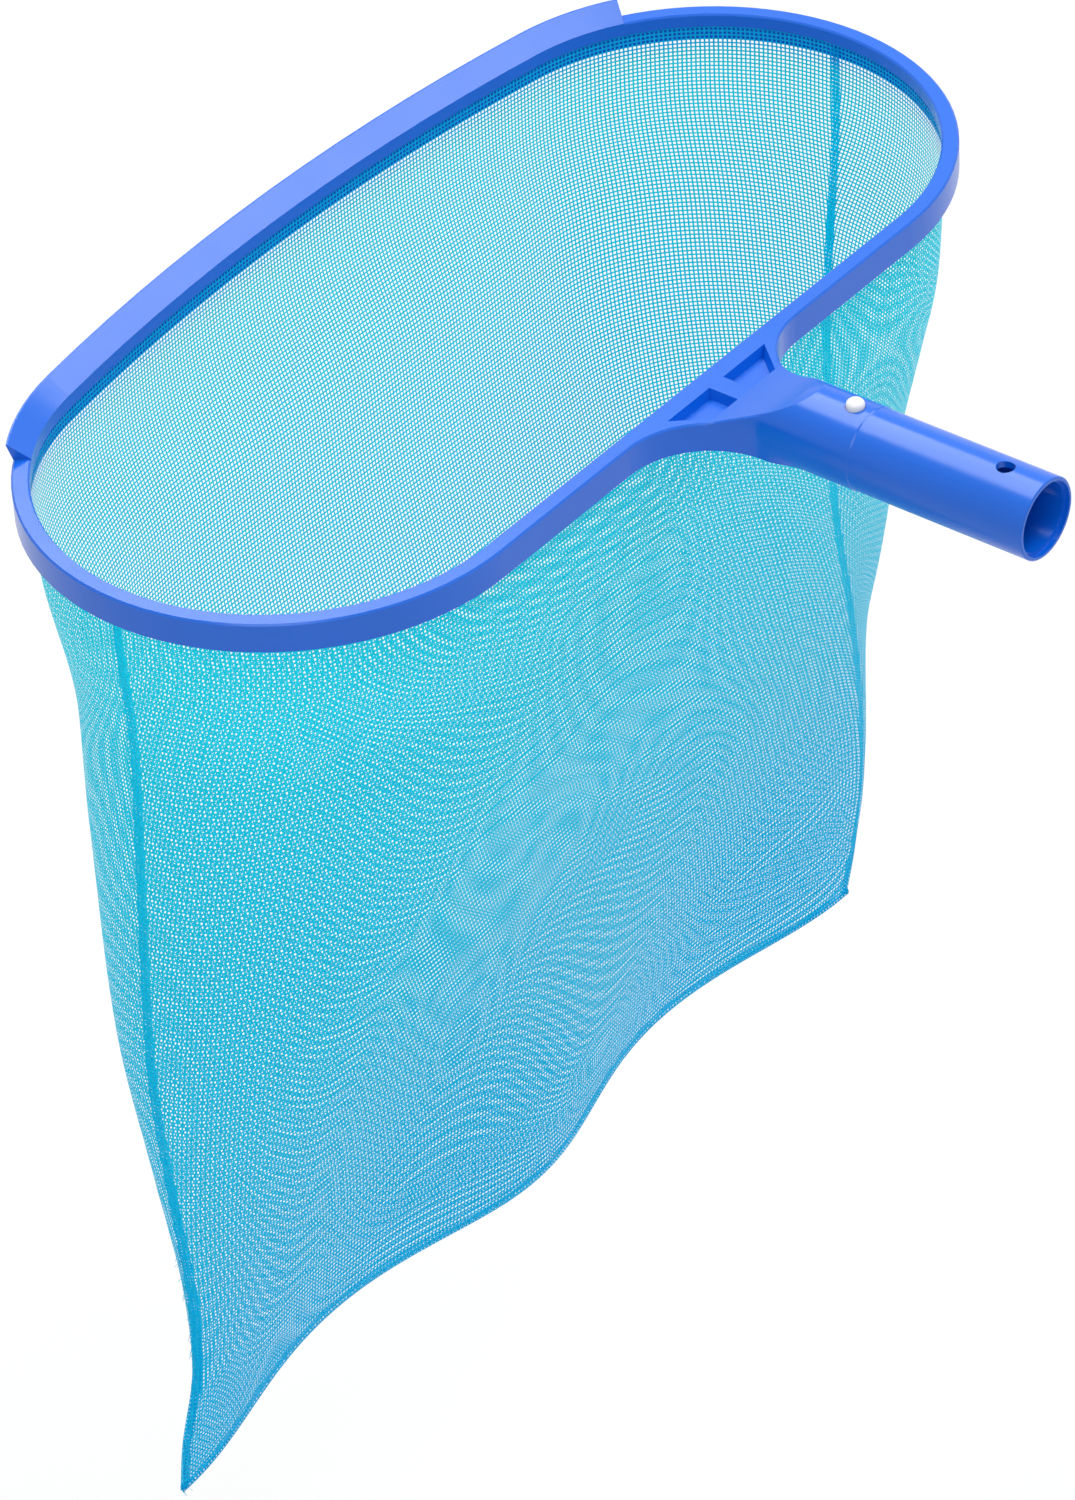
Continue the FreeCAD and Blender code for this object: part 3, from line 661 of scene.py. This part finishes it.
def woven(name, top, foot, thread, through=0.25):
    """Square-woven net: threads that pass over and under each other, open holes between them."""
    material, shader = new_material(name)
    links = material.node_tree.links

    # The holes, where neither thread is
    flat = add_node(material, "UVMap", uv_map="weave").outputs[0]
    split = add_node(material, "SeparateXYZ", {"Vector": flat})
    cells = [math_node(material, "DIVIDE", split.outputs[index], NET_PITCH) for index in (0, 1)]
    strand = []
    for cell in cells:
        middle = math_node(material, "SUBTRACT", math_node(material, "FRACT", cell), 0.5)
        reach = math_node(material, "MULTIPLY", math_node(material, "ABSOLUTE", middle), 2 / thread)
        strand.append(math_node(material, "SUBTRACT", 1.0, math_node(material, "POWER", reach, 2.0)))
    alpha = math_node(material, "GREATER_THAN", math_node(material, "MAXIMUM", *strand), 0.0)
    links.new(alpha, shader.inputs["Alpha"])

    # The threads' height, over and under in turn
    waves = [math_node(material, "SINE", math_node(material, "MULTIPLY", cell, math.pi)) for cell in cells]
    crossing = math_node(material, "MULTIPLY", 0.7, math_node(material, "MULTIPLY", *waves))
    height = math_node(
        material, "MAXIMUM", math_node(material, "ADD", strand[0], crossing),
        math_node(material, "SUBTRACT", strand[1], crossing),
    )
    links.new(relief(material, height, 0.7, 0.00015), shader.inputs["Normal"])

    # Colour: painted shade, from the lit top to a darker and more blue foot, with a slow drift; painted blue
    # bounce light from the frame at the hem; and uneven along each thread
    place = add_node(material, "TexCoord").outputs["Object"]
    upward = add_node(material, "SeparateXYZ", {"Vector": place}).outputs[2]
    # Painted shade: the fade runs from 0 at the foot to 1 near the rim
    fade = remap(material, upward, From_Min=-0.39, From_Max=-0.02)
    cloud = math_node(material, "SUBTRACT", noise(material, place, 13.0, 3.0), 0.5)
    drift = math_node(material, "MULTIPLY", cloud, 0.35)
    colour = two_colours(material, math_node(material, "ADD", fade, drift), foot, top)
    # Painted bounce light: the net takes on the frame's blue in a band under the rim
    hem = remap(material, upward, From_Min=-0.014, From_Max=-0.008)
    bluer = add_node(material, "Mix", {0: hem, 6: colour}, data_type="RGBA")
    bluer.inputs[7].default_value = (*NET_HEM_BOUNCE, 1)
    slub = noise(material, place, 900.0, 2.0)
    tone = add_node(material, "VectorMath", {0: bluer.outputs[2]}, operation="SCALE")
    links.new(remap(material, slub, To_Min=0.8, To_Max=1.15), tone.inputs["Scale"])
    links.new(tone.outputs[0], shader.inputs["Base Color"])
    shader.inputs["Roughness"].default_value = 0.5
    shader.inputs["Specular IOR Level"].default_value = 0.1

    # Light that comes through the threads from behind
    glow = add_node(material, "BsdfTranslucent", {"Color": tone.outputs[0]})
    clear = add_node(material, "BsdfTransparent")
    holes = add_node(material, "MixShader", {0: alpha, 1: clear.outputs[0], 2: glow.outputs[0]})
    both = add_node(material, "MixShader", {1: shader.outputs[0], 2: holes.outputs[0]})
    both.inputs[0].default_value = through
    set_surface(material, both.outputs[0])
    return material


def brushed_steel(name):
    """Spring strip with fine lines across its length."""
    material, shader = new_material(name)
    links = material.node_tree.links
    place = add_node(material, "TexCoord").outputs["Object"]
    stretch = add_node(material, "Mapping", {"Vector": place}, Scale=(2500, 60, 2500))
    lines = noise(material, stretch.outputs[0], 1.0, 3.0)
    tone = two_colours(material, lines, (0.45, 0.46, 0.48), (0.66, 0.67, 0.69))
    links.new(tone, shader.inputs["Base Color"])
    links.new(remap(material, lines, To_Min=0.22, To_Max=0.42), shader.inputs["Roughness"])
    shader.inputs["Metallic"].default_value = 1.0
    return material


def set_material(item, material):
    item.data.materials.clear()
    item.data.materials.append(material)


def camera():
    """The photograph's view."""
    azimuth, elevation, roll = (math.radians(value) for value in CAMERA_TURN)
    back = Vector((
        math.sin(azimuth) * math.cos(elevation), -math.cos(azimuth) * math.cos(elevation), math.sin(elevation),
    ))
    level = Vector((math.cos(azimuth), math.sin(azimuth), 0))
    upright = back.cross(level)
    right = level * math.cos(roll) + upright * math.sin(roll)
    up = upright * math.cos(roll) - level * math.sin(roll)
    data = bpy.data.cameras.new("camera")
    data.sensor_fit = "HORIZONTAL"
    data.sensor_width = 36
    data.lens = FOCAL_PX / IMAGE_WIDTH * data.sensor_width
    data.shift_x = 0.5 - CENTRE_PX / IMAGE_WIDTH
    data.clip_end = 20
    item = bpy.data.objects.new("camera", data)
    bpy.context.scene.collection.objects.link(item)
    place = Matrix((right, up, back)).transposed().to_4x4()
    place.translation = Vector(CAMERA_TARGET) + back * CAMERA_DISTANCE
    item.matrix_world = place
    bpy.context.scene.camera = item


def area_light(name, place, aim, along, size, power):
    """A soft box that faces aim, its first size measured along the given direction."""
    data = bpy.data.lights.new(name, "AREA")
    data.shape = "RECTANGLE"
    data.size, data.size_y = size
    data.energy = power
    item = bpy.data.objects.new(name, data)
    bpy.context.scene.collection.objects.link(item)
    back = (Vector(place) - Vector(aim)).normalized()
    up = back.cross(Vector(along)).normalized()
    item.matrix_world = Matrix((up.cross(back), up, back)).transposed().to_4x4()
    item.location = place


def seen_plainly(owner):
    """1 for rays from the camera, mirrored rays and rays that pass through, and 0 for light."""
    path = add_node(owner, "LightPath")
    seen = math_node(owner, "MAXIMUM", path.outputs["Is Camera Ray"], path.outputs["Is Glossy Ray"])
    return math_node(owner, "MAXIMUM", seen, path.outputs["Is Transmission Ray"])


def studio():
    """A pale floor under the bag, a plain white world and soft lamps."""
    scene = bpy.context.scene
    scene.view_settings.view_transform = "Standard"
    world = bpy.data.worlds.new("world")
    world.use_nodes = True
    world.node_tree.nodes.clear()
    scene.world = world
    light = add_node(world, "Background", Color=WHITE, Strength=WORLD_LIGHT)
    plain = add_node(world, "Background", Color=WHITE, Strength=1.0)
    mix = add_node(world, "MixShader", {0: seen_plainly(world), 1: light.outputs[0], 2: plain.outputs[0]})
    add_node(world, "OutputWorld", {0: mix.outputs[0]})

    corners = [(x * FLOOR_REACH, y * FLOOR_REACH, FLOOR_HEIGHT) for x, y in ((-1, -1), (1, -1), (1, 1), (-1, 1))]
    floor = mesh_object("floor", corners, [(0, 1, 2, 3)])
    material, shader = new_material("floor")
    place = add_node(material, "TexCoord").outputs["Object"]
    grain = noise(material, place, 30.0, 4.0)
    colour = two_colours(material, grain, (0.86, 0.86, 0.86), (0.9, 0.9, 0.9))
    material.node_tree.links.new(colour, shader.inputs["Base Color"])
    shader.inputs["Roughness"].default_value = 0.9
    white = add_node(material, "Emission", Strength=1.0)
    share = math_node(material, "MULTIPLY", seen_plainly(material), FLOOR_WHITE)
    pale = add_node(material, "MixShader", {0: share, 1: shader.outputs[0], 2: white.outputs[0]})
    set_surface(material, pale.outputs[0])
    set_material(floor, material)

    area_light("back_light", (0.54, 1.5, 2.24), (0, 0.1, 0), (0.92, 0, -0.39), (2.4, 1.1), 45)
    area_light("side_light", (1.13, -0.69, 2.1), (-0.05, 0.31, 0), (0.89, 0.17, -0.42), (2.2, 1.0), 36)
    area_light("key_light", (-1.8, -0.8, 1.6), (0, 0.2, -0.1), (0.41, -0.91, 0), (1.4, 1.4), 17)


camera()
studio()

blue = plastic("frame_blue", FRAME_BLUE, 0.22, 0.42)
hoop_blue = plastic("hoop_blue", HOOP_BLUE, 0.4, 0.3)
white = plastic("button_white", BUTTON_WHITE, 0.35, 0.5)
net = woven("net_mesh", NET_TOP, NET_FOOT_SHADE, 0.40)
seam_net = woven("seam_mesh", SEAM_TOP, SEAM_LOW_SHADE, 0.42, 0.55)
foot_net = woven("foot_mesh", NET_TOP, FOOT_LOW_SHADE, 0.40, 0.5)
thread = woven("seam_thread", THREAD_TOP, THREAD_LOW_SHADE, 2.0)
rope = plastic("cord_white", CORD_WHITE, 0.75, 0.2)
steel = brushed_steel("spring_steel")

for name, material in (
    ("frame", blue), ("net_retainer", hoop_blue), ("clip_upper_bend", steel), ("clip_lower_bend", steel),
    ("clip_upper_leg", steel), ("clip_lower_leg", steel), ("upper_button", white), ("lower_button", white),
):
    set_material(nodes[name], material)

front_panel, front, front_cut = net_panel("woven_front_panel", -1)
back_panel, back, back_cut = net_panel("woven_back_panel", 1)
left_seam, left_line, left_sides = side_seam("left_seam_band", front, back, False)
right_seam, right_line, right_sides = side_seam("right_seam_band", front, back, True)
foot, foot_line, foot_sides = foot_seam("foot_seam_band", front, back)
seam_stitches = stitches("seam_stitches", [
    (left_line, left_sides, SEAM_WIDE * 0.6, -SEAM_THICK / 2),
    (right_line, right_sides, SEAM_WIDE * 0.6, -SEAM_THICK / 2),
    (foot_line, foot_sides, FOOT_HIGH * 0.7, FOOT_THICK / 2),
    (foot_line, foot_sides, FOOT_HIGH * 0.7, -FOOT_THICK / 2),
])
frayed = fringe("frayed_threads", left_line, left_sides)
cord = hem_rope("hem_rope")
neck = neck_sleeve("neck_sleeve")

for piece, material, node, slot in (
    (neck, blue, None, "frame_plastic"),
    (front_panel, net, "net_front_panel", "net"), (back_panel, net, "net_back_panel", "net"),
    (left_seam, seam_net, "left_side_seam", "seam"), (right_seam, seam_net, "right_side_seam", "seam"),
    (foot, foot_net, "bottom_seam", "seam"), (seam_stitches, thread, None, "seam"),
    (frayed, thread, None, "net"), (cord, rope, "hem_cord", "cord"),
):
    set_material(piece, material)
    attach(piece, "skimmer")
    if node:
        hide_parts(node)
